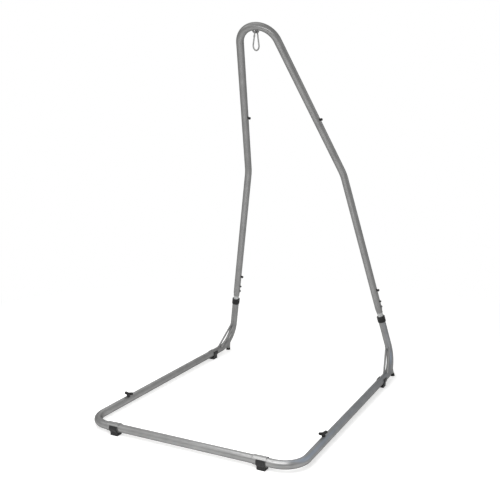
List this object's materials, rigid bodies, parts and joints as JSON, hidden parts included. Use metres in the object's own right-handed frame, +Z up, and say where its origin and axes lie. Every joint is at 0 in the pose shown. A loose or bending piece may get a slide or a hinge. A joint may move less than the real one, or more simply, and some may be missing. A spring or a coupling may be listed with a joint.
{
  "type": "hanging chair stand",
  "caption": "Free-standing tube stand for a hanging chair: U-shaped base on clip feet, telescopic leaning legs, an arched bow over the top and a snap hook under it.",
  "frame": {"origin": "on the floor, under the middle of the box of the whole stand", "axes": "seen from the front, +X is to the right, +Y to the rear, where the legs rise, and +Z up"},
  "size_m": [1.1586, 1.4702, 1.9733],
  "materials": {
    "frame_paint": "silver-grey powder paint, satin",
    "galvanised_steel": "bright galvanised",
    "zinc_steel": "zinc plated",
    "black_plastic": "moulded, matt",
    "black_rubber": "matt",
    "bush_plastic": "moulded, matt"
  },
  "bodies": {
    "right_base": {"right_front_corner": "frame_paint", "right_rear_tube": "frame_paint", "right_wing_nut": "zinc_steel", "right_brace_rods": "frame_paint", "right_heel_stub": "frame_paint", "right_heel_cap": "black_rubber", "right_rear_foot": "black_plastic", "right_guide_bush": "bush_plastic"},
    "front_bar": {"front_bar": "frame_paint", "right_front_foot": "black_plastic"},
    "left_base": {"left_front_corner": "frame_paint", "left_rear_tube": "frame_paint", "left_wing_nut": "zinc_steel", "left_brace_rods": "frame_paint", "left_heel_stub": "frame_paint", "left_heel_cap": "black_rubber", "left_rear_foot": "black_plastic", "left_guide_bush": "bush_plastic", "left_front_foot": "black_plastic"},
    "upper_frame": {"bow": "frame_paint", "hanging_eye": "frame_paint", "right_leg": "frame_paint", "right_inner_tube": "galvanised_steel", "right_slide_plug": "bush_plastic", "right_leg_spacer": "bush_plastic", "right_leg_nuts": "zinc_steel", "right_leg_bolt": "zinc_steel", "right_bow_nut": "zinc_steel", "right_button_spring": "zinc_steel", "left_leg": "frame_paint", "left_inner_tube": "galvanised_steel", "left_slide_plug": "bush_plastic", "left_leg_spacer": "bush_plastic", "left_leg_nuts": "zinc_steel", "left_leg_bolt": "zinc_steel", "left_bow_nut": "zinc_steel", "left_button_spring": "zinc_steel"},
    "hook": {"snap_hook": "zinc_steel", "gate_pin": "zinc_steel"},
    "gate": {"gate": "zinc_steel", "gate_spring": "zinc_steel"},
    "right_collar": {"right_collar": "black_plastic"},
    "right_wing_screw": {"right_wing_knob": "black_plastic", "right_wing_stud": "zinc_steel"},
    "right_leg_screw": {"right_leg_screw_head": "black_plastic", "right_leg_screw_stud": "zinc_steel"},
    "right_bow_screw": {"right_bow_screw_head": "black_plastic", "right_bow_screw_stud": "zinc_steel"},
    "right_button": {"right_button": "black_plastic"},
    "left_collar": {"left_collar": "black_plastic"},
    "left_wing_screw": {"left_wing_knob": "black_plastic", "left_wing_stud": "zinc_steel"},
    "left_leg_screw": {"left_leg_screw_head": "black_plastic", "left_leg_screw_stud": "zinc_steel"},
    "left_bow_screw": {"left_bow_screw_head": "black_plastic", "left_bow_screw_stud": "zinc_steel"},
    "left_button": {"left_button": "black_plastic"}
  },
  "joints": [
    {"name": "height_slide", "type": "slide", "parent": "right_base", "child": "upper_frame", "axis": [-0.2099, -0.1975, 0.9576], "range_m": [-0.01, 0.08]},
    {"name": "bar_slide", "type": "slide", "parent": "right_base", "child": "front_bar", "axis": [-1, 0, 0], "range_m": [-0.003, 0.02]},
    {"name": "left_base_slide", "type": "slide", "parent": "front_bar", "child": "left_base", "axis": [-1, 0, 0], "range_m": [-0.003, 0.02]},
    {"name": "left_collar_turn", "type": "hinge", "parent": "left_base", "child": "left_collar", "pos_m": [-0.48172, 0.67692, 0.353], "axis": [0.2099, -0.1975, 0.9576], "range_deg": [0, 90]},
    {"name": "right_collar_turn", "type": "hinge", "parent": "right_base", "child": "right_collar", "pos_m": [0.48172, 0.67692, 0.353], "axis": [-0.2099, -0.1975, 0.9576], "range_deg": [0, 90]},
    {"name": "left_wing_turn", "type": "hinge", "parent": "left_base", "child": "left_wing_screw", "pos_m": [-0.55388, -0.39194, 0.05656], "axis": [0.2079, -0.0013, 0.9781], "continuous": true},
    {"name": "left_leg_screw_turn", "type": "hinge", "parent": "upper_frame", "child": "left_leg_screw", "pos_m": [-0.42634, 0.64565, 0.51298], "axis": [0.9742, 0.1249, -0.1878], "continuous": true},
    {"name": "left_bow_screw_turn", "type": "hinge", "parent": "upper_frame", "child": "left_bow_screw", "pos_m": [-0.19078, 0.29726, 1.50316], "axis": [0.9742, 0.1249, -0.1878], "continuous": true},
    {"name": "left_button_press", "type": "slide", "parent": "upper_frame", "child": "left_button", "axis": [-0.9742, -0.1249, 0.1878], "range_m": [0, 0.009], "stiffness_N_per_m": 900, "springref_m": -0.006, "deforming": ["left_button_spring"]},
    {"name": "right_wing_turn", "type": "hinge", "parent": "right_base", "child": "right_wing_screw", "pos_m": [0.55388, -0.39194, 0.05656], "axis": [-0.2079, -0.0013, 0.9781], "continuous": true},
    {"name": "right_leg_screw_turn", "type": "hinge", "parent": "upper_frame", "child": "right_leg_screw", "pos_m": [0.46531, 0.64066, 0.5205], "axis": [0.9742, -0.1249, 0.1878], "continuous": true},
    {"name": "right_bow_screw_turn", "type": "hinge", "parent": "upper_frame", "child": "right_bow_screw", "pos_m": [0.23448, 0.30356, 1.49362], "axis": [0.9742, -0.1249, 0.1878], "continuous": true},
    {"name": "right_button_press", "type": "slide", "parent": "upper_frame", "child": "right_button", "axis": [-0.9742, 0.1249, -0.1878], "range_m": [0, 0.009], "stiffness_N_per_m": 900, "springref_m": -0.006, "deforming": ["right_button_spring"]},
    {"name": "hook_swing", "type": "hinge", "parent": "upper_frame", "child": "hook", "pos_m": [0, 0.01794, 1.92468], "axis": [1, 0, 0], "range_deg": [-45, 45]},
    {"name": "gate_turn", "type": "hinge", "parent": "hook", "child": "gate", "pos_m": [-0.00311, 0.00448, 1.90682], "axis": [0.9744, -0.225, 0], "range_deg": [0, 25], "stiffness_Nm_per_rad": 0.12, "springref_deg": -20.05}
  ],
  "couplings": [
    {"joint": "bar_slide", "follows": "height_slide", "ratio": 0.20993},
    {"joint": "left_base_slide", "follows": "height_slide", "ratio": 0.20993}
  ]
}
